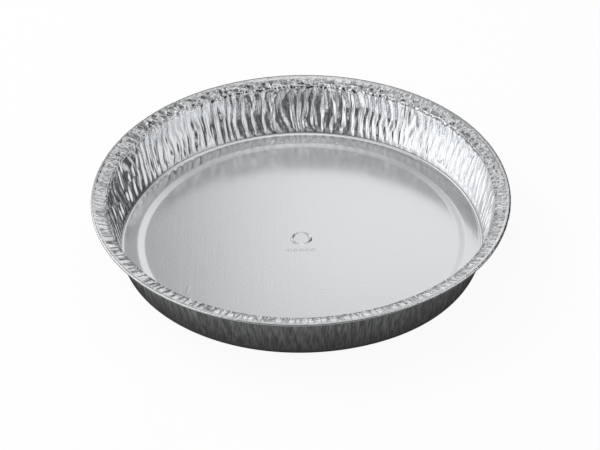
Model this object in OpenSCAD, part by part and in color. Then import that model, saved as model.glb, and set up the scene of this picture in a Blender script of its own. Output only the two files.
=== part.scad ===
// Round foil pie tin, pressed from one sheet of thin aluminium foil.
// Sizes are in millimetres. The tin stands on its flat floor panel at z = 0,
// with +Z up and the origin in the middle of the panel's lower face.
//
// The sheet runs, from the middle outwards: a flat panel, a shallow step up to
// a level floor ring, a rounded foot, a wall gathered into pleats because a
// flat disc has too much foil at its edge, a gathered flange that slopes up a
// little, and a hollow roll that hides the cut edge.

/* [Overall size] */
// Outside diameter over the rolled rim
rim_d = 232; // [210:1:260]
// Height from the table to the top of the rolled rim
tin_h = 33.2; // [27:0.2:40]
// Diameter at which the floor ring and the wall would meet in a sharp foot
foot_d = 201.6; // [196:0.2:204]
// Thickness of the foil
foil_t = 0.1; // [0.08:0.01:0.14]

/* [Floor] */
// Diameter of the flat panel that the tin stands on
panel_d = 175.8; // [120:0.2:178]
// Level width of the step around the panel
step_w = 3.7; // [3:0.1:6]
// Height of the floor ring above the panel
ring_z = 0.7; // [0.4:0.1:2]
// Length of foil on each side of the foot that its rounding takes up
foot_round = 1.5; // [0.8:0.1:2]

/* [Press mark] */
// Outside diameter of the plain round bead pressed in the middle
bead_d = 12; // [9:0.5:16]
// Width of the bead at its foot
bead_w = 1.6; // [1.4:0.1:2.4]
// Height of the bead
bead_rise = 0.35; // [0.2:0.05:0.5]

/* [Pleats] */
// Quarter of the number of pleats around the wall
pleat_quads = 32; // [24:2:34]
// Largest swing of a fold to either side of the wall
pleat_depth = 0.85; // [0.2:0.05:0.9]
// Height above the table at which the folds are open
pleat_start = 4.6; // [3.5:0.1:6]
// How far folds wander sideways on their way up, in columns
pleat_wander = 1.3; // [0:0.1:2]
// Number that picks one set of uneven folds
pleat_seed = 27; // [1:1:99]

/* [Rim] */
// Outside diameter of the rolled edge
roll_d = 2; // [1.6:0.1:3]
// Level width of the flange between the wall and the roll
flange_w = 6.6; // [5:0.1:8]
// Rise of the sloping flange from the wall to the roll
flange_rise = 1.9; // [0.4:0.1:3]
// Angle at which the flange meets the roll, from its outer side over the top
roll_from = 156; // [140:2:170]
// Angle at which the tucked-in cut edge ends, below the outer side
roll_to = -156; // [-170:2:-120]
// Amount by which the roll winds in towards its cut edge
roll_wind = 0.25; // [0:0.05:0.3]

/* [Hidden] */

// Driving places on the lower skin of the sheet.
foot_r = foot_d / 2;
panel_r = panel_d / 2;
step_r = panel_r + step_w;
bead_out = bead_d / 2;
bead_in = bead_out - bead_w;
bead_flank = bead_w / 3;
roll_r = roll_d / 2;
roll_x = rim_d / 2 - roll_r;
roll_z = tin_h - roll_r;
roll_steps = 10;

// Point of the roll's inner skin, wound in towards the cut edge.
function roll_angle(s) = roll_from + (roll_to - roll_from) * s / roll_steps;
function roll_radius(s) = roll_r - foil_t - roll_wind * max(0, s / roll_steps - 0.6) / 0.4;
function roll_point(s) = [
    roll_x + roll_radius(s) * cos(roll_angle(s)),
    roll_z + roll_radius(s) * sin(roll_angle(s))
];

flange_end = roll_point(0);
wall_top = flange_end - [flange_w, flange_rise];
foot = [foot_r, ring_z];
wall_h = wall_top[1] - ring_z;
function on_wall(z) = foot + (wall_top - foot) * (z - ring_z) / wall_h;

// The foot is rounded between these two places, by way of a third.
round_in = foot - [foot_round, 0];
round_out = foot + (wall_top - foot) * foot_round / norm(wall_top - foot);
round_mid = (round_in + 2 * foot + round_out) / 4;

// Columns of facets. Rows in the mark, smooth rows and pleated rows each have
// four times as many as the kind before, so that they knit together. A pleat
// is two columns of a pleated row, one out and one in.
smooth_n = 2 * pleat_quads;
knit = 4;
mark_n = smooth_n / knit;
pleat_n = smooth_n * knit;

// Section of the lower skin from the middle out: [place, columns, fold].
section = concat(
    [
        [[bead_in, 0], mark_n, 0],
        [[bead_in + bead_flank, bead_rise], mark_n, 0],
        [[bead_out - bead_flank, bead_rise], mark_n, 0],
        [[bead_out, 0], mark_n, 0],
        [[panel_r, 0], smooth_n, 0],
        [[step_r, ring_z], smooth_n, 0],
        [round_in, smooth_n, 0],
        [round_mid, smooth_n, 0],
        [round_out, pleat_n, 0],
        [on_wall(pleat_start), pleat_n, 0.6],
        [on_wall(ring_z + 0.4 * wall_h), pleat_n, 1],
        [on_wall(ring_z + 0.72 * wall_h), pleat_n, 1],
        [wall_top, pleat_n, 0.9],
        [(wall_top + flange_end) / 2, pleat_n, 0.6],
        [flange_end, pleat_n, 0.25]
    ],
    [for (s = [1:roll_steps]) [roll_point(s), smooth_n, 0]]
);
rows = len(section);

// Row of the section at the top of the wall.
top_row = 12;

// Direction from the lower skin to the dish skin: square to the sheet, and
// at a bend long enough that both sides of the bend keep the foil's thickness.
function normal(k) =
    let (d = section[k + 1][0] - section[k][0]) [-d[1], d[0]] / norm(d);
function before(k) = k == 0 ? [0, 1] : normal(k - 1);
function after(k) = k == rows - 1 ? normal(k - 1) : normal(k);
across = [for (k = [0:rows - 1]) (before(k) + after(k)) / (1 + before(k) * after(k))];

// Uneven folds: a sideways shift, a depth, and how much of it each part keeps.
shift = rands(-0.28, 0.28, pleat_n, pleat_seed);
depth = rands(0.3, 1, pleat_n, pleat_seed + 100);
low_part = rands(0.3, 1, pleat_n, pleat_seed + 200);
high_part = rands(0.3, 1, pleat_n, pleat_seed + 300);
flange_part = rands(0.2, 1, pleat_n, pleat_seed + 400);
function part_of(i, k) =
    k < top_row - 1 ? low_part[i] :
    k == top_row - 1 ? (low_part[i] + high_part[i]) / 2 :
    k == top_row ? high_part[i] :
    flange_part[i];
function fold(i, k) =
    section[k][2] == 0 ? 0 :
    (i % 2 == 0 ? 1 : -1) * pleat_depth * section[k][2] * depth[i] * part_of(i, k);

// Neighbouring folds lean the same way, most of all at the top of the wall.
function lean(k) = max(0, 1 - abs(k - top_row) / 4);
function sway(i) = (sin(5 * i * 360 / pleat_n + 40) + 0.6 * sin(17 * i * 360 / pleat_n)) / 1.6;
function column(i, k) =
    section[k][1] < pleat_n ? i :
    i + shift[i] + pleat_wander * lean(k) * sway(i);

// Points of one skin, row by row. Skin 0 faces into the dish.
function sheet_point(i, k, skin) =
    let (
        a = 360 * column(i, k) / section[k][1],
        u = across[k],
        p = section[k][0] + u * ((skin == 0 ? foil_t : 0) + fold(i, k) / norm(u))
    )
    [p[0] * cos(a), p[0] * sin(a), p[1]];
function skin_points(skin) =
    [for (k = [0:rows - 1]) for (i = [0:section[k][1] - 1]) sheet_point(i, k, skin)];

// Number of the first point in each row, and of column i in row k.
function sum_to(k) = k == 0 ? 0 : sum_to(k - 1) + section[k - 1][1];
row_start = [for (k = [0:rows]) sum_to(k)];
function at(skin, k, i) = skin * row_start[rows] + row_start[k] + i % section[k][1];

// Triangles between row k and the next, for the dish skin. Where the number
// of columns changes, each wide cell takes a fan of narrow ones.
function even_band(s, k) = [
    for (i = [0:section[k][1] - 1]) for (f = [
        [at(s, k, i), at(s, k, i + 1), at(s, k + 1, i + 1)],
        [at(s, k, i), at(s, k + 1, i + 1), at(s, k + 1, i)]
    ]) f
];
function widening_band(s, k) = [
    for (j = [0:section[k][1] - 1]) for (f = concat(
        [[at(s, k, j), at(s, k, j + 1), at(s, k + 1, knit * j + knit / 2)]],
        [for (n = [0:knit - 1]) [
            at(s, k, n < knit / 2 ? j : j + 1),
            at(s, k + 1, knit * j + n + 1),
            at(s, k + 1, knit * j + n)
        ]]
    )) f
];
function narrowing_band(s, k) = [
    for (j = [0:section[k + 1][1] - 1]) for (f = concat(
        [[at(s, k, knit * j + knit / 2), at(s, k + 1, j + 1), at(s, k + 1, j)]],
        [for (n = [0:knit - 1]) [
            at(s, k, knit * j + n),
            at(s, k, knit * j + n + 1),
            at(s, k + 1, n < knit / 2 ? j : j + 1)
        ]]
    )) f
];
function band(s, k) =
    section[k][1] == section[k + 1][1] ? even_band(s, k) :
    section[k][1] < section[k + 1][1] ? widening_band(s, k) :
    narrowing_band(s, k);

// The flat face inside the first row. It is wound like the other dish faces.
function hub(s) = [for (i = [mark_n - 1:-1:0]) at(s, 0, i)];

// The lower skin has the same triangles, turned over.
function turned(f, skin) = skin == 0 ? f : [for (n = [len(f) - 1:-1:0]) f[n]];
function skin_faces(skin) = [
    for (f = concat([hub(skin)], [for (k = [0:rows - 2]) for (b = band(skin, k)) b])) turned(f, skin)
];

// The cut edge closes the sheet inside the roll.
cut_edge = [
    for (i = [0:smooth_n - 1]) for (f = [
        [at(0, rows - 1, i), at(0, rows - 1, i + 1), at(1, rows - 1, i + 1)],
        [at(0, rows - 1, i), at(1, rows - 1, i + 1), at(1, rows - 1, i)]
    ]) f
];

module tin() {
    color([0.82, 0.83, 0.84])
        polyhedron(
            points = concat(skin_points(0), skin_points(1)),
            faces = concat(skin_faces(0), skin_faces(1), cut_edge)
        );
}

tin();
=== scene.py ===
# %% [markdown]
# # A foil pie tin
# A foil pie tin is one sheet of thin aluminium, pressed into a round dish, gathered at its wall
# and rolled at its rim. Nothing is joined to it. So its whole look comes from three things: the
# section of the sheet, its uneven folds, and the room that its shine reflects. This lesson makes
# them in that order.
#
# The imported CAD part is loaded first. Its box gives the size that the dressed tin keeps to.

# %% Frame and tools
import math

import bpy
import numpy as np
from mathutils import Matrix, Vector


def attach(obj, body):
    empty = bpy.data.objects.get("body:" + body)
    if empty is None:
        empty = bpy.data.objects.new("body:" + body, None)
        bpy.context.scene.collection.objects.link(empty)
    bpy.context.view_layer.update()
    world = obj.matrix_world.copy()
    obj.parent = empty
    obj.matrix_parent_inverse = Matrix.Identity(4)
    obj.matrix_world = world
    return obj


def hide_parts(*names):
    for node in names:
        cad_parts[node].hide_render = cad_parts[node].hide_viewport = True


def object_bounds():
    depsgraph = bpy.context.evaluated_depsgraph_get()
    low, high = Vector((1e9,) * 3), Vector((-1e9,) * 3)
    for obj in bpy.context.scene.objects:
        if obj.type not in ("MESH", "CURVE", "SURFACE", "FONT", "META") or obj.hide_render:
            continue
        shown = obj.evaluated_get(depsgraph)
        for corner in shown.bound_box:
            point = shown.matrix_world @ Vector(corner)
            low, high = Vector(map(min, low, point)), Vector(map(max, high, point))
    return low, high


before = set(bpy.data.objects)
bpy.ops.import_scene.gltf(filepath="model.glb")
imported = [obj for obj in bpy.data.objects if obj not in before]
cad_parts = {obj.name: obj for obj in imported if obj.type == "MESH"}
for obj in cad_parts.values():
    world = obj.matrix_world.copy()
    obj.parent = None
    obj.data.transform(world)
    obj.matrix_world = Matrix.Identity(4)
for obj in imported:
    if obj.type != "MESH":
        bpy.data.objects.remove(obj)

cad_low, cad_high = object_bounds()
MM = 0.001
RIM_R = (cad_high.x - cad_low.x) / 2 / MM
TIN_H = (cad_high.z - cad_low.z) / MM
print("rim radius", round(RIM_R, 2), "mm, height", round(TIN_H, 2), "mm")

# %% [markdown]
# ## The section of the sheet
# A round pressed tin can be read from one section, from the middle out to the cut edge: a flat
# panel, a shallow step up to the floor ring, a rounded foot, a leaning wall, a flange and a roll.
# A spun line with a Solidify modifier could make it, but tight folds and the roll would get an
# uneven thickness. So the section of the lower skin is written down once, and the upper skin will
# stand off from it by the foil's thickness. All lengths are in millimetres.

# %% Sizes of the section
FOIL_T = 0.1
PANEL_R = 87.9
# the step: its width, the height that it climbs, and how softly it bends
STEP_W = 3.7
RING_Z = 0.7
STEP_SOFT = 0.3
# the foot: where ring and wall would meet in a corner, and the foil on each side that rounds it
FOOT_R = 100.8
FOOT_ROUND = 1.5
FLANGE_W = 6.6
FLANGE_RISE = 1.9
# the roll: its radius, the angles of its two ends, and how far it winds in after a share of its way
ROLL_R = 1.0
ROLL_FROM = math.radians(156)
ROLL_TO = math.radians(-156)
ROLL_WIND = 0.25
WIND_FROM = 0.6
# the roll stays this far inside the CAD's box, which leaves room for the folds and the bulge
RIM_SPARE = 0.22
print("panel", 2 * PANEL_R, "mm across, foot", 2 * FOOT_R, "mm across, foil", FOIL_T, "mm")

# %% [markdown]
# ### The roll
# The cut edge of foil is sharp, so it is rolled outwards and under. The roll is hollow, and its end
# is wound in, out of reach. An arc that tightens near its end gives that shape. Where the roll
# starts, the flange ends, and the top of the wall lies one flange further in.

# %% Roll and top of the wall
ROLL_ROWS = 11


def roll_points(rows):
    """Arc of the roll's inner skin. The angle a goes evenly from ROLL_FROM to ROLL_TO. The radius is
    the roll's less the foil, and shrinks evenly by ROLL_WIND after WIND_FROM of the way."""
    t = np.linspace(0, 1, rows)
    a = ROLL_FROM + (ROLL_TO - ROLL_FROM) * t
    rad = ROLL_R - FOIL_T - ROLL_WIND * np.clip(t - WIND_FROM, 0, 1) / (1 - WIND_FROM)
    x = RIM_R - ROLL_R - RIM_SPARE + rad * np.cos(a)
    z = TIN_H - ROLL_R - RIM_SPARE + rad * np.sin(a)
    return np.stack([x, z], axis=1)


roll = roll_points(ROLL_ROWS)
flange_end = roll[0]
wall_top = flange_end - np.array([FLANGE_W, FLANGE_RISE])
print("wall top at radius", round(float(wall_top[0]), 2), "and height", round(float(wall_top[1]), 2))

# %% [markdown]
# ### The flange
# The flange slopes up a little towards the roll. At its inner edge the press leaves a crisp crease,
# which catches the light as a thin broken line. Three points make it: a corner, a small ridge and
# a small dip. The rest is an even slope.

# %% Flange
# each point of the crease: distance across the flange, and height above its slope
LIP = [(0.0, 0.0), (0.35, 0.16), (0.85, -0.1)]
SLOPE_ROWS = 5


def stretch(a, b, rows):
    """Points from a to b, evenly apart, with b left out: a (1 - t) + b t."""
    t = np.arange(rows)[:, None] / rows
    return np.array(a) * (1 - t) + np.array(b) * t


def flange_points():
    """The crease, then even steps to the roll. The slope's height is FLANGE_RISE / FLANGE_W of the way."""
    lip = [wall_top + np.array([x, z + x * FLANGE_RISE / FLANGE_W]) for x, z in LIP]
    return np.concatenate([lip, stretch(lip[-1], flange_end, SLOPE_ROWS)[1:]])


flange = flange_points()
print("flange rows", len(flange))

# %% [markdown]
# ### The foot and the step
# Foil can't take a sharp corner, so the foot is an arc that touches the ring and the wall. The step
# is a straight ramp with soft bends. A ramp made of two softened corners has both in one formula.

# %% Foot and step
FOOT_ROWS = 4
# distances from the panel's edge at which the step has rows
STEP_ROWS = np.array([-0.4, 0, 0.4, 1.2, 2.5, 3.3, 3.7, 4.1])
foot = np.array([FOOT_R, RING_Z])
wall_foot = foot + (wall_top - foot) * FOOT_ROUND / np.linalg.norm(wall_top - foot)


def foot_points(rows):
    """Arc between ring and wall. Its turn a goes from 0 to the wall's lean, both ends left out, and
    its radius is FOOT_ROUND over the tangent of half the lean."""
    lean = math.atan2(wall_top[1] - RING_Z, wall_top[0] - FOOT_R)
    rad = FOOT_ROUND / math.tan(lean / 2)
    a = lean * (np.arange(rows) + 1) / (rows + 1)
    return np.stack([FOOT_R - FOOT_ROUND + rad * np.sin(a), RING_Z + rad * (1 - np.cos(a))], axis=1)


def corner(x):
    """Softened corner: 0 far to the left of x = 0 and x far to its right, (x + sqrt(x^2 + w^2)) / 2."""
    return (x + np.hypot(x, STEP_SOFT)) / 2


def step_points(r):
    """Softened ramp: RING_Z (corner(r - a) - corner(r - b)) / (b - a), a and b its two edges."""
    z = RING_Z * (corner(r - PANEL_R) - corner(r - PANEL_R - STEP_W)) / STEP_W
    return np.stack([r, z], axis=1)


def level(radii, z):
    """Points at the given radii, all at height z."""
    return np.stack([np.array(radii, dtype=float), np.full(len(radii), float(z))], axis=1)


print("wall starts at radius", round(float(wall_foot[0]), 2))

# %% [markdown]
# ### All rows
# Rows of points follow the section. They stand close together at each bend, where the shading has
# to stay crisp, and in the middle, where the mark is pressed. The folds of wall and flange need
# 1600 points around. The roll does with 400 and the floor with 200, which keeps the sheet well
# under 200,000 triangles.

# %% Rows of the section
WALL_N = 1600
ROLL_N = 400
FLOOR_N = 200
HUB_R = 0.4
MARK_IN, MARK_OUT = 3.6, 14.1
MARK_ROWS = 27
WALL_ROWS = 11
PANEL_RADII = [MARK_OUT, MARK_OUT + 1, 50, PANEL_R - 4, PANEL_R - 1]
RING_RADII = [PANEL_R + STEP_W + 1.2, FOOT_R - FOOT_ROUND - 1, FOOT_R - FOOT_ROUND]

# stretches of the section: points, number of points around, name
parts = [
    (level([HUB_R], 0), FLOOR_N, "mark"),
    (stretch((MARK_IN, 0), (MARK_OUT, 0), MARK_ROWS), FLOOR_N, "mark"),
    (level(PANEL_RADII, 0), FLOOR_N, "panel"),
    (step_points(PANEL_R + STEP_ROWS), FLOOR_N, "step"),
    (level(RING_RADII, RING_Z), FLOOR_N, "ring"),
    (foot_points(FOOT_ROWS), FLOOR_N, "foot"),
    (stretch(wall_foot, wall_top, WALL_ROWS), WALL_N, "wall"),
    (flange, WALL_N, "flange"),
    (roll, ROLL_N, "roll"),
]
section = np.concatenate([p for p, n, kind in parts])
counts = np.concatenate([np.full(len(p), n) for p, n, kind in parts]).astype(int)
kinds = sum([[kind] * len(p) for p, n, kind in parts], [])
wall_row, flange_row, roll_row = (kinds.index(kind) for kind in ("wall", "flange", "roll"))

# distance along the sheet, from the middle and from the foot of the wall
run = np.concatenate([[0], np.cumsum(np.linalg.norm(np.diff(section, axis=0), axis=1))])
up_sheet = np.clip(run - run[wall_row], 0, None)
print("rows", len(section), "of which wall", kinds.count("wall"))
print("wall and rim take", round(float(up_sheet[-1]), 1), "mm of foil")

# %% [markdown]
# ## Uneven folds
# A flat disc has too much foil at its edge, so the wall gathers into pleats. Real pleats aren't
# copies of each other: each has its own depth, and sways, forks or dies out half-way up. A wave of
# one shape repeated around would look like a cupcake paper. A cloth simulation would be slow and
# hard to steer. So sums of simple waves are used, and smooth random fields bend them.
#
# A field is made of random knots on a coarse grid, blended so that it has no corners.

# %% Smooth noise
rng = np.random.default_rng(7)
ROUND = 2 * math.pi
theta = np.arange(WALL_N) * ROUND / WALL_N
T, S = np.meshgrid(theta, up_sheet)


def field(around, along):
    """Smooth random field in -1..1 over the angle T and the distance S up the sheet. Its knots stand
    `around` to the turn and `along` mm apart, and half cosines blend each knot into the next."""
    rows = int(S.max() / along) + 3
    knots = rng.uniform(-1, 1, (rows, around))
    x = T / ROUND * around
    y = S / along
    i = np.floor(x).astype(int)
    j = np.floor(y).astype(int)
    side_mix = 0.5 - 0.5 * np.cos((x - i) * math.pi)
    up_mix = 0.5 - 0.5 * np.cos((y - j) * math.pi)
    here, next_one = i % around, (i + 1) % around
    low = knots[j, here] * (1 - side_mix) + knots[j, next_one] * side_mix
    high = knots[j + 1, here] * (1 - side_mix) + knots[j + 1, next_one] * side_mix
    return low * (1 - up_mix) + high * up_mix


def pinch(phase, width):
    """Narrow rounded ridge of height 1 at each whole phase: exp(-(x / width)^2), x the distance to
    the nearest whole phase."""
    return np.exp(-(((phase - np.round(phase)) / width) ** 2))


def fields(*terms):
    """Sum of share * field(around, along) over the terms."""
    return sum(share * field(around, along) for share, around, along in terms)


def bumps_around(spots):
    """Sum over (middle, width, height) of height * exp(-(off / width)^2), off the angle in degrees
    from the middle. 0 is the right, 90 the back, 180 the left, 270 the front."""
    total_height = np.zeros(WALL_N)
    for middle, width, height in spots:
        off = (np.degrees(theta) - middle + 180) % 360 - 180
        total_height += height * np.exp(-((off / width) ** 2))
    return total_height


print("grid of the sheet", T.shape)

# %% [markdown]
# Three waves of different count are laid over each other: the main pleats, forks that come and go
# between them, and fine pleats. Each has broad lobes between narrow ridges. They share one sway,
# so that neighbours lean the same way, and each wanders a little on its own.

# %% Lines of the folds
# kind: count around, ridge width and its growth up the wall in periods, share of the sway,
# own wander in periods, and that wander's knots around and distance in mm
LINES = {
    "pleat": (124, 0.18, 0.02, 1.0, 0.45, 62, 90.0),
    "fork": (203, 0.2, 0.0, 1.5, 0.6, 110, 8.0),
    "fine": (390, 0.22, 0.0, 2.0, 0.6, 200, 5.0),
}
# the sway that all of them follow: share in periods, knots around, and their distance in mm
SWAY = [(0.4, 28, 9.0), (0.28, 90, 7.0)]
# distance up the sheet over which forks and fine pleats reach their full share
GROWN_AT = 30
grow = np.clip(S / GROWN_AT, 0, 1)
sway = fields(*SWAY)
ridges = {}
for kind, (count, width, widen, swayed, wander, knots, apart) in LINES.items():
    phase = count * T / ROUND + swayed * sway + wander * field(knots, apart)
    ridges[kind] = pinch(phase, width + widen * grow)
print("pleats", round(ROUND * FOOT_R / LINES["pleat"][0], 1), "mm apart at the foot")

# %% Depth of pleats and forks
PLEAT_H, FORK_H = 1.25, 0.7
# a pleat's depth varies by this share of its full height, and loses this much up the wall
PLEAT_VARIES, PLEAT_LOSES = 0.35, 0.2
# forks show where a field, stretched and lifted by these, is above 0
FORK_LIFT, FORK_STRETCH = 0.1, 1.1
# share of the forks and fine pleats that is there at the foot
EARLY = 0.3
# mean height of the ridges, taken off so that the foil swings to both sides of the wall
RIDGE_MEAN = 0.3
late = EARLY + (1 - EARLY) * grow
pleat_depth = (1 - PLEAT_VARIES + PLEAT_VARIES * field(80, 12.0)) * (1 - PLEAT_LOSES * grow)
gathers = PLEAT_H * (ridges["pleat"] - RIDGE_MEAN) * pleat_depth
fork_share = np.clip(FORK_LIFT + FORK_STRETCH * field(100, 8.0), 0, 1)
gathers += FORK_H * (ridges["fork"] - RIDGE_MEAN) * fork_share * late
print("gathers from", round(float(gathers.min()), 2), "to", round(float(gathers.max()), 2), "mm")

# %% [markdown]
# The flange has small crumples on its inner half, where the foil was squeezed hardest. They are a
# field with close knots. Only some of that shape can be held by the mesh. The rest follows as bump
# in the material.

# %% Crumples
CRUMPLE_H = 0.15
CRUMPLE_FIELDS = [(0.6, 260, 2.2), (0.4, 520, 1.6)]
# share of the crumples at distances in mm across the flange, from its inner edge
CRUMPLE_ACROSS = ([0.0, 0.8, 3.3, 4.4, 8.0], [0.6, 1.0, 1.0, 0.15, 0.08])
crumple = CRUMPLE_H * fields(*CRUMPLE_FIELDS)
across_flange = run - run[flange_row]
crumple_share = np.where(across_flange < 0, 0, np.interp(across_flange, *CRUMPLE_ACROSS))
print("rows with crumples", int(np.count_nonzero(crumple_share)))

# %% [markdown]
# At the back right the wall is calmer: shallower pleats with more fine ones between them. The
# folds open up just above the foot. They close by half at the crease of the flange, which holds
# the foil, and little of them is left on the roll.

# %% All folds
FINE_H = 0.17
FINE_LIFT = 0.5
# middle and width of the calm stretch in degrees, and the share of the pleats that it takes
CALM = [(22, 30, 0.4)]
# how many times more fine pleats there would be where all of the main ones are gone
CALM_FINE = 5
# distance in mm over which folds open at the foot or close at the crease, and how much they close
OPEN_OVER = 3.0
CREASE_HOLD = 0.5
GATHER_SHARE = {"wall": 1.0, "flange": 0.35, "roll": 0.14}
calm = bumps_around(CALM)
fine_share = np.clip(FINE_LIFT + field(150, 6.0), 0, 1) * (1 + CALM_FINE * calm)
gathers = gathers * (1 - calm) + FINE_H * (ridges["fine"] - RIDGE_MEAN) * fine_share * late
open_up = 0.5 - 0.5 * np.cos(np.clip(S / OPEN_OVER, 0, 1) * math.pi)
near_crease = np.clip(1 - np.abs(S - up_sheet[flange_row]) / OPEN_OVER, 0, 1)
open_up *= 1 - CREASE_HOLD * near_crease
gather_share = np.array([GATHER_SHARE.get(kind, 0) for kind in kinds])
folds = gathers * gather_share[:, None] * open_up + crumple * crumple_share[:, None]
print("deepest fold", round(float(np.abs(folds).max()), 2), "mm")

# %% [markdown]
# ## Wear
# Thin foil never stays true. The rim of this tin sags at the right and a little at the left. The
# rim and the foot bulge at the front right. These are broad and soft, so each is one rounded bump
# in the angle, and it fades down the wall or in from the foot.

# %% Sag and bulge
# middle and width in degrees, size in mm
SAGS = [(-12, 34, 1.6), (180, 38, 0.5)]
RIM_BULGES = [(-38, 18, 0.9)]
FOOT_BULGES = [(-48, 26, 1.4)]
# the foot's bulge starts this far outside the panel and grows over this width
FOOT_FADE_IN, FOOT_FADE_W = 5, 6
share_up = np.clip(up_sheet / up_sheet[flange_row], 0, 1)[:, None]
share_out = np.clip((section[:, 0] - PANEL_R - FOOT_FADE_IN) / FOOT_FADE_W, 0, 1)[:, None]
sag = bumps_around(SAGS) * share_up
bulge = bumps_around(RIM_BULGES) * share_up + bumps_around(FOOT_BULGES) * share_out * (1 - share_up)
print("rim sags by", round(float(sag.max()), 2), "mm, bulges by", round(float(bulge[-1].max()), 2), "mm")

# %% [markdown]
# ## The closed sheet
# Both skins use the same rows. At a bend the upper skin stands off along the mitre of the two
# neighbouring stretches, and a little further than on the flat, so that the foil keeps its
# thickness round every bend. The folds move both skins along the same line.

# %% Stand-off between the skins
along = np.diff(section, axis=0)
square = np.stack([-along[:, 1], along[:, 0]], axis=1) / np.linalg.norm(along, axis=1)[:, None]
before = np.concatenate([[[0, 1]], square])
after = np.concatenate([square, square[-1:]])
mitre = (before + after) / (1 + np.sum(before * after, axis=1))[:, None]
mitre_way = mitre / np.linalg.norm(mitre, axis=1)[:, None]
print("longest mitre", round(float(np.linalg.norm(mitre, axis=1).max()), 2), "foil thicknesses")

# %% [markdown]
# A plain press mark sits in the middle of the panel: a ring and a row of dots. It is pressed from
# below, so both skins carry it. Each ridge has straight flanks and a flat top, which a clipped
# ramp gives.

# %% Press mark
RING_MARK_R, RING_MARK_W, RING_MARK_H = 5.2, 0.45, 0.5
DOTS, DOT_APART, DOT_R, DOT_H = 5, 3.3, 0.72, 0.45
DOTS_Y = -10.5
# flat tops: a ridge is cut off where its ramp has come this far up
RING_CUT, DOT_CUT = 1.4, 1.5


def emboss(x, y):
    """Height of the mark: clip(cut - off / width, 0, 1), off the distance from the ring or a dot."""
    off = np.abs(np.hypot(x, y) - RING_MARK_R)
    height = RING_MARK_H * np.clip(RING_CUT - off / RING_MARK_W, 0, 1)
    for n in range(DOTS):
        off = np.hypot(x - (n - (DOTS - 1) / 2) * DOT_APART, y - DOTS_Y)
        height += DOT_H * np.clip(DOT_CUT - off / DOT_R, 0, 1)
    return height


print("mark", round(2 * (RING_MARK_R + RING_MARK_W * RING_CUT), 1), "mm across the ring")

# %% Points of the two skins
def row_points(k, upper):
    """One row around the axis. The place on the section moves along the mitre by the fold and, on the
    upper skin, by the foil. Then bulge and sag are added, and the row is turned to all angles."""
    every = WALL_N // counts[k]
    th = theta[::every]
    place = section[k] + mitre_way[k] * folds[k, ::every, None]
    if upper:
        place = place + FOIL_T * mitre[k]
    out = place[:, 0] + bulge[k, ::every]
    x = out * np.cos(th)
    y = out * np.sin(th)
    z = place[:, 1] - sag[k, ::every]
    if kinds[k] == "mark":
        z = z + emboss(x, y)
    return np.stack([x, y, z], axis=1)


points = np.concatenate([row_points(k, upper) for upper in (True, False) for k in range(len(section))])
# number of each row's first point, and of points in one skin
starts = np.concatenate([[0], np.cumsum(counts)])
skin_n = int(starts[-1])
print("points in one skin", skin_n)

# %% [markdown]
# Neighbouring rows with equally many points take a ring of quads. Where the number changes, each
# wide cell takes one triangle from the row with few points, and a fan of small ones from the row
# with many. No point is left on an open edge, so the sheet is closed.

# %% Faces between the rows
def quad_ring(k):
    """Quads between rows k and k + 1, anticlockwise seen from above."""
    i = np.arange(counts[k])
    j = (i + 1) % counts[k]
    a, b = starts[k], starts[k + 1]
    return np.stack([a + i, b + i, b + j, a + j], axis=1)


def fan_ring(few, many):
    """Triangles between a row with few points and its neighbour with q times as many. Each cell has
    a wide triangle to the middle point, and a fan of q narrow ones from the two ends."""
    q = counts[many] // counts[few]
    i = np.arange(counts[few])
    j = (i + 1) % counts[few]
    a, b = starts[few], starts[many]
    tris = [np.stack([a + i, b + i * q + q // 2, a + j], axis=1)]
    for n in range(q):
        end = i if n < q // 2 else j
        tris.append(np.stack([a + end, b + i * q + n, b + (i * q + n + 1) % counts[many]], axis=1))
    return np.concatenate(tris)


quads, tris = [], []
for k in range(len(section) - 1):
    if counts[k] == counts[k + 1]:
        quads.append(quad_ring(k))
    elif counts[k] < counts[k + 1]:
        tris.append(fan_ring(k, k + 1))
    else:
        tris.append(fan_ring(k + 1, k)[:, ::-1])
quads = np.concatenate(quads)
tris = np.concatenate(tris)
print("quads", len(quads), "and triangles", len(tris), "in one skin")

# %% [markdown]
# The lower skin has the same faces, turned over. A small disc closes the middle of each skin, and
# a narrow band joins the skins at the cut edge.

# %% Sheet mesh
i = np.arange(counts[-1])
j = (i + 1) % counts[-1]
last = starts[-2]
cut_edge = np.stack([last + i, skin_n + last + i, skin_n + last + j, last + j], axis=1)
hub = np.arange(counts[0])[None, :]
upper_faces = [quads, tris, hub]
lower_faces = [f[:, ::-1] + skin_n for f in upper_faces]
faces = sum([f.tolist() for f in upper_faces + lower_faces + [cut_edge]], [])

mesh = bpy.data.meshes.new("foil_sheet")
mesh.from_pydata((points * MM).tolist(), [], faces)
mesh.update()
# edges that bend by more than this stay crisp, such as the cut edge
SHARP_FROM = math.radians(50)
mesh.shade_smooth()
mesh.set_sharp_from_angle(angle=SHARP_FROM)
tin = bpy.data.objects.new("foil_sheet", mesh)
bpy.context.scene.collection.objects.link(tin)
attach(tin, "root")
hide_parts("tin")
print("faces", len(faces), "triangles", sum(len(f) - 2 for f in faces))

# %% [markdown]
# ## Where each crease goes
# The smallest creases are finer than the mesh, so the material makes them. It has to know where
# each kind belongs: ribs on the flange, streaks on the wall, nothing on the flat floor. A painted
# map could say so, but numbers stored on the points follow the sheet by themselves. Each function
# below takes a row k and the angles th of its points.
#
# The first is the place on the sheet, for noise that follows the folds. It is wrapped round the
# axis, so it has no seam, and squeezed along the wall, so creases run up it as streaks.

# %% Place on the sheet
GRAIN_R = 105
WALL_SQUEEZE, RIM_SQUEEZE = 0.22, 0.9
on_rim = np.clip(across_flange, 0, None)
grain_up = run * WALL_SQUEEZE + on_rim * (RIM_SQUEEZE - WALL_SQUEEZE)


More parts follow.
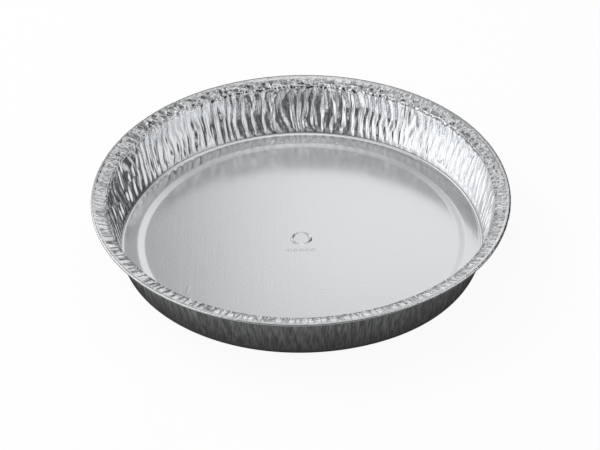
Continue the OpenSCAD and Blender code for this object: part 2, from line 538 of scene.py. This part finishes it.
def point_values(of_row):
    """One value per point of both skins, from a function of row k and its angles."""
    rows = [of_row(k, theta[:: WALL_N // counts[k]]) for k in range(len(section))]
    return np.concatenate(rows + rows)


def put(name, values):
    """Stores one number per point of the mesh."""
    mesh.attributes.new(name, "FLOAT", "POINT").data.foreach_set("value", values)


def grain_of(k, th):
    """Place in mm: (GRAIN_R cos th, GRAIN_R sin th, squeezed distance along the sheet)."""
    around = [np.cos(th) * GRAIN_R, np.sin(th) * GRAIN_R]
    return np.stack(around + [np.full(len(th), grain_up[k])], axis=1)


grain_attribute = mesh.attributes.new("grain", "FLOAT_VECTOR", "POINT")
grain_attribute.data.foreach_set("vector", point_values(grain_of).ravel())
print("grain runs from 0 to", round(float(grain_up[-1]), 1), "up the sheet")

# %% Flat and folded, inside and outside
def folded_of(k, th):
    """0 on the flat floor and the foot, 1 on the gathered wall and rim."""
    return np.full(len(th), float(k >= wall_row))


def up_wall_of(k, th):
    """Distance up the wall in mm, which stays the same across the rim."""
    return np.full(len(th), min(up_sheet[k], up_sheet[flange_row]))


outside = np.repeat([0.0, 1.0], skin_n)
put("folded", point_values(folded_of))
put("outer", outside)
put("up_wall", point_values(up_wall_of) * (1 - outside))
print("points on the outside", int(outside.sum()))

# %% [markdown]
# The flange isn't the same all round. At the back it is crumpled, and most at the back left. At
# the front and the sides it has ribs and broader strips across it, with painted shade in the gaps
# at its inner edge. So each share swells or fades towards one side of the tin.

# %% Shares around the tin
# each swell: its middle in degrees, how narrow it is, and what it adds there or takes away. The
# crumples also fade from the back to a least share at the front
CRUMPLES_REACH = [(140, 4, 0.9)]
CRUMPLES_LEFT = [(218, 2, -0.6)]
CRUMPLES_BACK, CRUMPLES_LEAST = (90, 0.4), 0.45
RIBS_AROUND = [(95, 0.5, -0.65), (205, 0.7, -0.7)]
STRIPS_AROUND = [(320, 1, -0.4)]
TEETH_REACH = [(270, 1, 1.4)]
TEETH_AROUND = [(100, 0.5, -0.75)]


def facing(th, middle, power):
    """1 at the angle `middle` in degrees, 0 from a quarter turn away: max(0, cos)^power."""
    return np.clip(np.cos(th - math.radians(middle)), 0, 1) ** power


def swelled(th, swells):
    """Product over the swells of 1 + share * facing(th, middle, power)."""
    share_here = np.ones(len(th))
    for middle, power, share in swells:
        share_here = share_here * (1 + share * facing(th, middle, power))
    return share_here


ribs_now = swelled(theta, RIBS_AROUND)
print("share of the ribs from", round(float(ribs_now.min()), 2), "to", round(float(ribs_now.max()), 2))

# %% Creases of the flange
# how much of the ribs and strips reaches the roll
ROLL_RIBS, ROLL_STRIPS = 0.6, 0.3
# strips are a wave around: half on at the sides, full at the front, shifted by an angle in degrees
STRIPS_MEAN, STRIPS_WAVE, STRIPS_SHIFT = 0.5, 0.9, 5
# reach and place of the painted shade in the gaps at the inner edge, in mm across the flange
TEETH_W, TEETH_AT = 1.8, 0.3


def crumpled_of(k, th):
    """Share of the small crumples, which reach further across at the back left."""
    if k < flange_row:
        return np.zeros(len(th))
    back = CRUMPLES_LEAST + (1 - CRUMPLES_LEAST) * facing(th, *CRUMPLES_BACK)
    across = np.interp(across_flange[k] / swelled(th, CRUMPLES_REACH), *CRUMPLE_ACROSS)
    return across * back * swelled(th, CRUMPLES_LEFT)


def ribbed_of(k, th):
    """Share of the fine ribs that cross the flange and notch the roll, least at the back left."""
    return {"flange": 1.0, "roll": ROLL_RIBS}.get(kinds[k], 0.0) * swelled(th, RIBS_AROUND)


def strips_of(k, th):
    """Share of the broad strips that cross the flange at the left, the front and the right."""
    front = np.clip(STRIPS_MEAN - STRIPS_WAVE * np.sin(th + math.radians(STRIPS_SHIFT)), 0, 1)
    return {"flange": 1.0, "roll": ROLL_STRIPS}.get(kinds[k], 0.0) * front * swelled(th, STRIPS_AROUND)


def gap_shade_of(k, th):
    """Share of painted shade in the rib gaps: 1 at the flange's inner edge, fading evenly over TEETH_W
    mm. It is wider at the front and weak at the back."""
    off = abs(across_flange[k] - TEETH_AT)
    across = np.clip(1 - off / (TEETH_W * swelled(th, TEETH_REACH)), 0, 1)
    return across * swelled(th, TEETH_AROUND)


# crumples, ribs and strips are relief, crumples and strips also carry painted shade, the last share is
# painted shade only
flange_creases_and_shade = {"crumpled": crumpled_of, "ribbed": ribbed_of, "strips": strips_of, "gap_shade": gap_shade_of}
for name, of_row in flange_creases_and_shade.items():
    values = point_values(of_row)
    put(name, values)
    print(name, "mean on the sheet", round(float(values.mean()), 3))

# %% [markdown]
# Some lines of this tin look dark: the tight bend where wall and foot meet, and the outline of the
# roll, which is heavy at the back and thin at the sides. Thin lines like these get lost in a
# reflection, so they are painted into the colour as a share of the darker tone: painted shade in
# the bend at the foot, and a painted dark reflection on the roll. They follow whole rows of the mesh.

# %% Painted dark lines
# share of painted shade on the two rows where foot and wall meet
FOOT_SHADE = {wall_row - 1: 0.85, wall_row: 0.4}
# rows of the roll, counted from its start: its inner edge, its top at the far back, its outer side
ROLL_INNER = 0.2
ROLL_FAR = {1: 0.12, 2: 0.8}
FAR_BACK = (95, 0.4)
ROLL_BACK = [3]
ROLL_SIDES = [4, 5, 6]
SIDE_LEAST = 0.3
# the outer side's share is a wave around, full at the back: its mean, its height, its shift in degrees
BACK_MEAN, BACK_WAVE, BACK_SHIFT = 0.5, 1.2, 15


def painted_dark_lines_of(k, th):
    """Share of painted shade on the row: a share for the foot's two rows, and on the roll's outer side a
    share of painted dark reflection that grows from the sides to the back: clip(mean + wave * sin, 0, 1)."""
    to_back = np.clip(BACK_MEAN + BACK_WAVE * np.sin(th + math.radians(BACK_SHIFT)), 0, 1)
    lines = {row: np.full(len(th), share) for row, share in FOOT_SHADE.items()}
    lines[roll_row] = np.full(len(th), ROLL_INNER)
    for n, share in ROLL_FAR.items():
        lines[roll_row + n] = share * facing(th, *FAR_BACK)
    for n in ROLL_BACK:
        lines[roll_row + n] = to_back
    for n in ROLL_SIDES:
        lines[roll_row + n] = to_back + SIDE_LEAST * (1 - to_back)
    return lines.get(k, np.zeros(len(th)))


put("painted_dark_lines", point_values(painted_dark_lines_of))
print("attributes of the sheet", len(mesh.attributes))

# %% [markdown]
# ## The foil's material
# Bare aluminium is a metal with almost no colour of its own, so one Principled shader with
# Metallic 1 is all it takes. What makes it foil is its surface, which is built from small nodes.
# These helpers keep each step to one line. They add nodes to the tree called nt.

# %% Material and helpers
foil = bpy.data.materials.new("foil")
foil.use_nodes = True
nt = foil.node_tree
bsdf = nt.nodes["Principled BSDF"]
bsdf.inputs["Metallic"].default_value = 1.0
mesh.materials.append(foil)


def node(tree, kind, links=(), **values):
    """New node. Values go to the property or socket of that name, with _ for a space, and links are
    given as (socket, output)."""
    made = tree.nodes.new(kind)
    for key, value in values.items():
        if hasattr(made, key):
            setattr(made, key, value)
        else:
            made.inputs[key.replace("_", " ")].default_value = value
    for socket, output in links:
        tree.links.new(output, made.inputs[socket])
    return made


def maths(operation, one, other):
    """Result of a Math node on an output and a number or another output."""
    made = node(nt, "ShaderNodeMath", [(0, one)], operation=operation)
    if isinstance(other, float):
        made.inputs[1].default_value = other
    else:
        nt.links.new(other, made.inputs[1])
    return made.outputs[0]


def times(value, *factors):
    """Product of an output and any numbers or outputs."""
    for factor in factors:
        value = maths("MULTIPLY", value, factor)
    return value


print("foil starts with", len(nt.nodes), "nodes")

# %% More helpers, and what is stored on the sheet
def ramp(value, start, end, low, high, easing="SMOOTHSTEP"):
    """`low` where the output is below `start`, `high` above `end`, and eased between them."""
    made = node(nt, "ShaderNodeMapRange", [("Value", value)], interpolation_type=easing,
                From_Min=start, From_Max=end, To_Min=low, To_Max=high)
    return made.outputs["Result"]


def noise(place, scale, detail=1.0):
    """Smooth noise in 0..1 at a place."""
    made = node(nt, "ShaderNodeTexNoise", [("Vector", place)], Scale=scale, Detail=detail)
    return made.outputs["Fac"]


def scaled(place, scale):
    """Place multiplied by a scale on each axis: below 1 draws a pattern out along that axis."""
    return node(nt, "ShaderNodeMapping", [("Vector", place)], Scale=scale).outputs["Vector"]


def stored(name, output="Fac"):
    """Number or vector stored on the sheet's points."""
    return node(nt, "ShaderNodeAttribute", attribute_name=name).outputs[output]


metres = node(nt, "ShaderNodeTexCoord").outputs["Object"]
grain = stored("grain", "Vector")
# the last of these four is a share of painted shade and painted dark reflection
folded, outer, up_wall, painted_dark_lines = (stored(name) for name in ("folded", "outer", "up_wall", "painted_dark_lines"))
# the last of these four is a share of painted shade in the rib gaps
crumpled, ribbed, strips, gap_shade = (stored(name) for name in flange_creases_and_shade)
print("with the numbers stored on the sheet", len(nt.nodes), "nodes")

# %% [markdown]
# The flat floor of the tin has a soft sheen, and the folds shine harder. One roughness for all
# would make either the floor a mirror or the folds dull. A slow haze varies the sheen and the
# brightness a little from place to place, as on foil that has been handled.

# %% Sheen and brightness
HAZE_SCALE = 60.0
FLAT_ROUGH = (0.16, 0.2)
FOLD_ROUGH = (0.04, 0.08)
DARKER = (0.845, 0.857, 0.87, 1)
LIGHTER = (0.885, 0.897, 0.91, 1)
haze = noise(metres, HAZE_SCALE, 2.0)
flat_rough = ramp(haze, 0.0, 1.0, *FLAT_ROUGH, easing="LINEAR")
fold_rough = ramp(haze, 0.0, 1.0, *FOLD_ROUGH, easing="LINEAR")
rough = node(nt, "ShaderNodeMix", [("Factor", folded), ("A", flat_rough), ("B", fold_rough)])
nt.links.new(rough.outputs["Result"], bsdf.inputs["Roughness"])
tint = node(nt, "ShaderNodeMix", [("Factor", haze)], data_type="RGBA", A=DARKER, B=LIGHTER)
print("roughness", FLAT_ROUGH, "on the floor,", FOLD_ROUGH, "on the folds")

# %% [markdown]
# ### Creases on the wall
# The pleats are in the mesh. Between them the foil has hair-fine streaks, stronger on the outside.
# Noise on the sheet's own place makes them, drawn out along the wall. All relief is gathered as
# heights in mm, and one Bump node turns the sum into shading. The deepest streaks see only dark
# foil, which a bump can't show, so they also get painted shade: a share of a darker tone in the
# colour, stronger on the outside.

# %% Wall streaks
# heights in mm, and how many creases there are to a mm
WALL_CREASE, WALL_CREASES_PER_MM = 0.06, 0.8
STREAK_H, STREAKS_PER_MM = 0.5, 1.25
STREAKS_DRAWN = (1, 1, 0.5)
# tilt of the dish side's shading, in mm to the mm, as if the wall stood a little steeper
WALL_LEAN = 0.035
# ramps of the painted shade in the streaks: noise where it starts and is full, share at both ends
OUTER_STREAK_SHADE = (0.38, 0.68, 0.0, 0.42)
INNER_STREAK_SHADE = (0.5, 0.7, 0.0, 0.3)
streaks = noise(scaled(grain, STREAKS_DRAWN), STREAKS_PER_MM)
heights = [
    times(noise(grain, WALL_CREASES_PER_MM), WALL_CREASE, folded),
    times(streaks, STREAK_H, folded, outer),
    times(up_wall, WALL_LEAN),
]
# shares of painted shade and painted dark reflection, which darken the colour
darks = [
    painted_dark_lines,
    times(ramp(streaks, *OUTER_STREAK_SHADE), outer, folded),
    times(ramp(streaks, *INNER_STREAK_SHADE), folded),
]
print("heights", len(heights), "dark tones", len(darks))

# %% [markdown]
# ### Crumples, ribs and strips on the flange
# Crumpled foil breaks into small facets around pits. Voronoi cells are just that: the square of
# the distance from a cell's middle is a bowl. Some cells, picked by their random colour, get painted
# shade in their pits, as if they were deep enough to be dark. Ribs and strips are cells drawn out
# across the flange, with the distance to the nearest edge as their rounded back. Their gaps get
# painted shade too.

# %% Crumples of the flange
RIM_CELL, CELLS_PER_MM = 2.0, 0.33
RIM_CREASE, RIM_CREASES_PER_MM = 0.06, 0.55
# painted shade in the pits: full up to the first distance from a cell's middle, gone at the second
PIT_SHADE = (0.15, 0.7, 0.98, 0.0)
# which cells get painted shade, by their random colour
SHADED_CELLS = (0.1, 0.4, 0.0, 1.0)
cells = node(nt, "ShaderNodeTexVoronoi", [("Vector", grain)], Scale=CELLS_PER_MM, Randomness=0.9)
pit = cells.outputs["Distance"]
cell_pick = node(nt, "ShaderNodeSeparateColor", [("Color", cells.outputs["Color"])]).outputs["Red"]
heights.append(times(pit, pit, RIM_CELL, crumpled))
heights.append(times(noise(grain, RIM_CREASES_PER_MM), RIM_CREASE, crumpled))
darks.append(times(ramp(pit, *PIT_SHADE), ramp(cell_pick, *SHADED_CELLS, easing="LINEAR"), crumpled))
print("heights", len(heights), "dark tones", len(darks))

# %% Ribs and strips of the flange
RIB_H, RIBS_PER_MM, RIBS_RANDOM = 0.35, 0.55, 0.8
STRIP_H, STRIPS_PER_MM, STRIPS_RANDOM = 0.4, 0.3, 0.7
RIBS_DRAWN = (1, 1, 0.25)
# distance from the gap at which a back starts and is full, and the same for the painted shade in the gap
RIB_BACK, RIB_GAP_SHADE = (0.0, 0.5, 0.0, 1.0), (0.0, 0.22, 0.9, 0.0)
STRIP_BACK, STRIP_GAP_SHADE = (0.0, 0.4, 0.0, 1.0), (0.0, 0.2, 0.95, 0.0)


def from_gap(per_mm, randomness):
    """Distance from the nearest edge between cells that are drawn out across the flange."""
    made = node(nt, "ShaderNodeTexVoronoi", [("Vector", scaled(grain, RIBS_DRAWN))],
                feature="DISTANCE_TO_EDGE", Scale=per_mm, Randomness=randomness)
    return made.outputs["Distance"]


ribs = from_gap(RIBS_PER_MM, RIBS_RANDOM)
broad = from_gap(STRIPS_PER_MM, STRIPS_RANDOM)
heights.append(times(ramp(ribs, *RIB_BACK), RIB_H, ribbed))
heights.append(times(ramp(broad, *STRIP_BACK), STRIP_H, strips))
darks.append(times(ramp(ribs, *RIB_GAP_SHADE), gap_shade))
darks.append(times(ramp(broad, *STRIP_GAP_SHADE), strips))
print("heights", len(heights), "dark tones", len(darks))

# %% [markdown]
# ### Grain and a dent on the floor
# The flat floor isn't a mirror either. It has a fine mottled grain, faint lines from rolling, and
# one small crease at the front left, such as a finger nail leaves. The crease is a long soft bump:
# the distance from its middle, measured in its own turned and stretched space.

# %% Floor relief
# heights in mm, and how many grains or lines there are to a metre
FLAT_GRAIN, GRAIN_SCALE = 0.033, 800.0
ROLLED, ROLLED_SCALE = 0.015, 330.0
ROLLED_DRAWN = (1, 0.07, 1)
DENT_AT = (-62.6 * MM, -44 * MM, 0)
DENT_TURN = (0, 0, math.radians(-12))
DENT_SIZE = (1.1 * MM, 5.5 * MM, 1)
DENT_RAMP = (0.0, 1.0, 0.045, 0.0)
dent_place = node(nt, "ShaderNodeMapping", [("Vector", metres)], vector_type="TEXTURE",
                  Location=DENT_AT, Rotation=DENT_TURN, Scale=DENT_SIZE)
dent_off = node(nt, "ShaderNodeVectorMath", [(0, dent_place.outputs["Vector"])], operation="LENGTH")
heights += [
    times(noise(metres, GRAIN_SCALE), FLAT_GRAIN),
    times(noise(scaled(metres, ROLLED_DRAWN), ROLLED_SCALE), ROLLED),
    ramp(dent_off.outputs["Value"], *DENT_RAMP),
]
print("dent", round(2 * DENT_SIZE[1] / MM, 1), "mm long")

# %% Colour and bump
# colour of all painted shade and painted dark reflection: creases, pits, gaps, streaks and dark lines
SHADE_TONE = (0.065, 0.065, 0.068, 1)
height = heights[0]
for more in heights[1:]:
    height = maths("ADD", height, more)
dark = darks[0]
for more in darks[1:]:
    dark = maths("MAXIMUM", dark, more)
tinted = tint.outputs["Result"]
toned = node(nt, "ShaderNodeMix", [("Factor", dark), ("A", tinted)], data_type="RGBA", B=SHADE_TONE)
bump = node(nt, "ShaderNodeBump", [("Height", height)], Strength=1.0, Distance=MM)
nt.links.new(toned.outputs["Result"], bsdf.inputs["Base Color"])
nt.links.new(bump.outputs["Normal"], bsdf.inputs["Normal"])
print("foil has", len(nt.nodes), "nodes")

# %% [markdown]
# ## The table
# The picture's background is pure white. More light on the tin would give that, but it would burn
# the foil out. So the table's material glows by itself for the camera and for reflections, at a
# strength of 1, which is white. The rest of it is a plain pale surface, and keeps the tin's soft
# shadow.

# %% Table
TABLE_HALF = 4.0
TABLE_GLOW = 0.93
TABLE_PALE = (0.9, 0.9, 0.9, 1)
table_mesh = bpy.data.meshes.new("floor")
corners = [(-TABLE_HALF, -TABLE_HALF, 0), (TABLE_HALF, -TABLE_HALF, 0),
           (TABLE_HALF, TABLE_HALF, 0), (-TABLE_HALF, TABLE_HALF, 0)]
table_mesh.from_pydata(corners, [], [(0, 1, 2, 3)])
table = bpy.data.objects.new("floor", table_mesh)
bpy.context.scene.collection.objects.link(table)

white = bpy.data.materials.new("white_floor")
white.use_nodes = True
nt = white.node_tree
pale = nt.nodes["Principled BSDF"]
pale.inputs["Base Color"].default_value = TABLE_PALE
pale.inputs["Roughness"].default_value = 0.8
rays = node(nt, "ShaderNodeLightPath").outputs
seen = maths("MAXIMUM", rays["Is Camera Ray"], rays["Is Glossy Ray"])
seen = times(maths("MAXIMUM", seen, rays["Is Transmission Ray"]), TABLE_GLOW)
glow = node(nt, "ShaderNodeEmission", Strength=1.0)
mix = node(nt, "ShaderNodeMixShader", [(0, seen), (1, pale.outputs[0]), (2, glow.outputs[0])])
nt.links.new(mix.outputs[0], nt.nodes["Material Output"].inputs["Surface"])
table_mesh.materials.append(white)
print("table", 2 * TABLE_HALF, "m wide, glow share", TABLE_GLOW)

# %% [markdown]
# ## The room that the foil reflects
# Foil shows the room more than itself. A studio for metal is a tent of white cloth with bright
# windows and black flags, and that is built here: a dome around the tin whose glow is a number on
# each point. Only reflections see it. A few area lamps would light the foil too, but their hard
# edges would show in every facet.

# %% Surfaces that only reflections see
def glow_material(name):
    """Emission whose strength is the number `light` on each point."""
    made = bpy.data.materials.new(name)
    made.use_nodes = True
    tree = made.node_tree
    tree.nodes.remove(tree.nodes["Principled BSDF"])
    value = node(tree, "ShaderNodeAttribute", attribute_name="light")
    light = node(tree, "ShaderNodeEmission", [("Strength", value.outputs["Fac"])])
    tree.links.new(light.outputs[0], tree.nodes["Material Output"].inputs["Surface"])
    return made


def reflector(name, points, levels):
    """Stage surface from a grid of points, rows by columns, closed around, with a light per point."""
    rows, around = levels.shape
    k = np.arange(around)
    j = np.arange(rows - 1)[:, None] * around
    after_k = (k + 1) % around
    quads = np.stack([j + k, j + after_k, j + around + after_k, j + around + k], axis=-1)
    made = bpy.data.meshes.new(name)
    made.from_pydata(points.reshape(-1, 3).tolist(), [], quads.reshape(-1, 4).tolist())
    made.attributes.new("light", "FLOAT", "POINT").data.foreach_set("value", levels.ravel())
    made.materials.append(glow_material(name))
    thing = bpy.data.objects.new(name, made)
    bpy.context.scene.collection.objects.link(thing)
    thing.visible_camera = thing.visible_diffuse = thing.visible_shadow = False
    darkest, brightest = round(float(levels.min()), 2), round(float(levels.max()), 2)
    print(name, "has", levels.size, "points, light from", darkest, "to", brightest)

# %% [markdown]
# The tent is a dome of one even level. Patches with soft edges are laid over it one after the
# other, and each covers what lies under it. The back wall sees the front and the sky, the floor
# sees the back, the right wall sees the left. The first eight patches were read, and rounded, from
# a least-squares fit of a coarse tent's light to the picture. The others were added, and some of
# the first changed, after renders were compared with the picture.

# %% Light tent
TENT_R = 0.9
TENT_BASE = 0.6
TENT_AROUND, TENT_ROWS, TENT_TOP = 144, 46, 88
AZ_SOFT, EL_SOFT = 14.0, 8.0
# name: azimuth and half width, elevation and half height in degrees (0 is right, 90 is back), level
TENT = {
    "upper_gap": (0, 200, 56, 8, 0.42),
    "left_glow": (183, 68, 16, 22, 1.0),
    "left_window": (184, 42, 14, 20, 1.42),
    "back_wall": (95, 32, 10, 20, 0.72),
    "back_low": (90, 45, 8, 5, 1.2),
    "back_right_box": (80, 14, 35, 8, 0.86),
    "right_flag": (38, 22, 26, 28, 0.08),
    "right_window": (342, 24, 26, 24, 1.0),
    "front_flag": (274, 36, 8, 21, 0.04),
    "front_box": (255, 75, 40, 10, 0.95),
    "back_left_flag": (112, 12, 42, 10, 0.3),
    "back_high": (90, 60, 68, 8, 0.95),
    "back_right_high": (48, 12, 55, 8, 1.0),
    "front_high": (270, 60, 70, 8, 0.6),
    "top": (0, 200, 86, 8, 0.98),
}


def eased(inside, width):
    """Smooth step from 0 to 1 as `inside` goes from -width / 2 to width / 2: t^2 (3 - 2 t)."""
    t = np.clip(inside / width + 0.5, 0, 1)
    return t * t * (3 - 2 * t)


az, el = np.meshgrid(np.arange(TENT_AROUND) * 360 / TENT_AROUND, np.linspace(0, TENT_TOP, TENT_ROWS))
light = np.full(az.shape, TENT_BASE)
for mid_az, half_az, mid_el, half_el, strength in TENT.values():
    off_az = np.abs((az - mid_az + 180) % 360 - 180)
    patch = eased(half_az - off_az, AZ_SOFT) * eased(half_el - np.abs(el - mid_el), EL_SOFT)
    light = light * (1 - patch) + strength * patch
turn, rise = np.radians(az), np.radians(el)
dome = np.stack([np.cos(rise) * np.cos(turn), np.cos(rise) * np.sin(turn), np.sin(rise)], axis=-1)
reflector("tent", TENT_R * dome, light)

# %% [markdown]
# The outside of the wall leans over the table and reflects it, and in the picture it is dark. So a
# sheet of rings lies just above the table, which only reflections see. It is a painted shadow: it
# stands in for the tin's shadow on the table, as the foil's reflections see it. It is dark under the
# tin, lighter from 2 to 10 cm outside the rim, and dark again further out. Its left is the lighter side.
# Its levels near the foot began with the same fit, and were then changed.

# %% Painted shadow sheet around the foot
SHADOW_RADII = np.array([0.094, 0.101, 0.104, 0.108, 0.112, 0.118, 0.125, 0.135, 0.16, 0.22, 0.27, 0.88])
SHADOW_LIGHT = np.array([0.05, 0.05, 0.06, 0.085, 0.11, 0.15, 0.24, 0.5, 0.6, 0.5, 0.08, 0.03])
SHADOW_N, SHADOW_Z, SHADOW_SIDE = 96, 0.0003, 0.3
a = np.arange(SHADOW_N) * ROUND / SHADOW_N
radii = SHADOW_RADII[:, None]
shadow_sheet = np.stack([radii * np.cos(a), radii * np.sin(a), np.full((len(SHADOW_RADII), SHADOW_N), SHADOW_Z)], axis=-1)
# a sheet of painted shadow, which only reflections see
reflector("painted_shadow_sheet", shadow_sheet, SHADOW_LIGHT[:, None] * (1 - SHADOW_SIDE * np.cos(a)))

# %% [markdown]
# A plain pale world and one soft lamp at the back left light the table, and give the tin's faint
# shadow. The foil doesn't see the lamp, because the tent already holds all its reflections.

# %% World and lamp
ROOM_PALE, ROOM_STRENGTH = (0.9, 0.9, 0.9, 1), 0.6
LAMP_AT = Vector((-0.9, 0.5, 1.0))
LAMP_SIZE = (1.0, 0.8)
LAMP_WATTS = 12
world = bpy.data.worlds.new("room")
bpy.context.scene.world = world
world.use_nodes = True
background = world.node_tree.nodes["Background"]
background.inputs["Color"].default_value = ROOM_PALE
background.inputs["Strength"].default_value = ROOM_STRENGTH
lamp = bpy.data.lights.new("soft_left", "AREA")
lamp.shape = "RECTANGLE"
lamp.size, lamp.size_y = LAMP_SIZE
lamp.energy = LAMP_WATTS
key = bpy.data.objects.new("soft_left", lamp)
key.location = LAMP_AT
key.rotation_mode = "QUATERNION"
key.rotation_quaternion = (-LAMP_AT).to_track_quat("-Z", "Y")
key.visible_glossy = False
bpy.context.scene.collection.objects.link(key)
print("lamp", LAMP_WATTS, "W,", round(LAMP_AT.length, 2), "m from the tin")

# %% [markdown]
# ## The camera
# The camera was fitted to the picture: the circles of rim, foot and panel were marked in it, and
# one camera was solved that sees the section's circles there. Its lengths are in rim radii. The
# aim is a point above the foot line, moved a little so that the tin sits in the frame as it does
# in the picture.

# %% Camera
# height over the table and tilt of the picture, as angles, and distance in rim radii
ELEV, ROLL = 0.648718, 0.019293
DIST = 12.0
# focal length and picture width in pixels
FOCAL_PX, PICTURE_PX = 2503.83, 600
SENSOR_MM = 36
# height of the foot line in mm, then the aim above it and the shift of the frame in rim radii
FOOT_LINE = 2.0
AIM_UP = 0.12
FRAME_UP, FRAME_RIGHT = 0.0439, 0.0061
CLIP_END = 20
R = RIM_R * MM
back = Vector((0, -math.cos(ELEV), math.sin(ELEV)))
right = Vector((1, 0, 0))
up = right.cross(-back)
cam_up = up * math.cos(ROLL) + right * math.sin(ROLL)
cam_right = right * math.cos(ROLL) - up * math.sin(ROLL)
aim = Vector((0, 0, AIM_UP * R + FOOT_LINE * MM)) - up * FRAME_UP * R - right * FRAME_RIGHT * R
cam_data = bpy.data.cameras.new("camera")
cam_data.sensor_width = SENSOR_MM
cam_data.lens = FOCAL_PX / PICTURE_PX * SENSOR_MM
cam_data.clip_end = CLIP_END
cam = bpy.data.objects.new("camera", cam_data)
bpy.context.scene.collection.objects.link(cam)
axes = Matrix((cam_right, cam_up, back)).transposed()
cam.matrix_world = Matrix.Translation(aim + back * DIST * R) @ axes.to_4x4()
bpy.context.scene.camera = cam
bpy.context.scene.view_settings.view_transform = "Standard"
print("lens", round(cam_data.lens, 1), "mm,", round(DIST * R, 2), "m away")
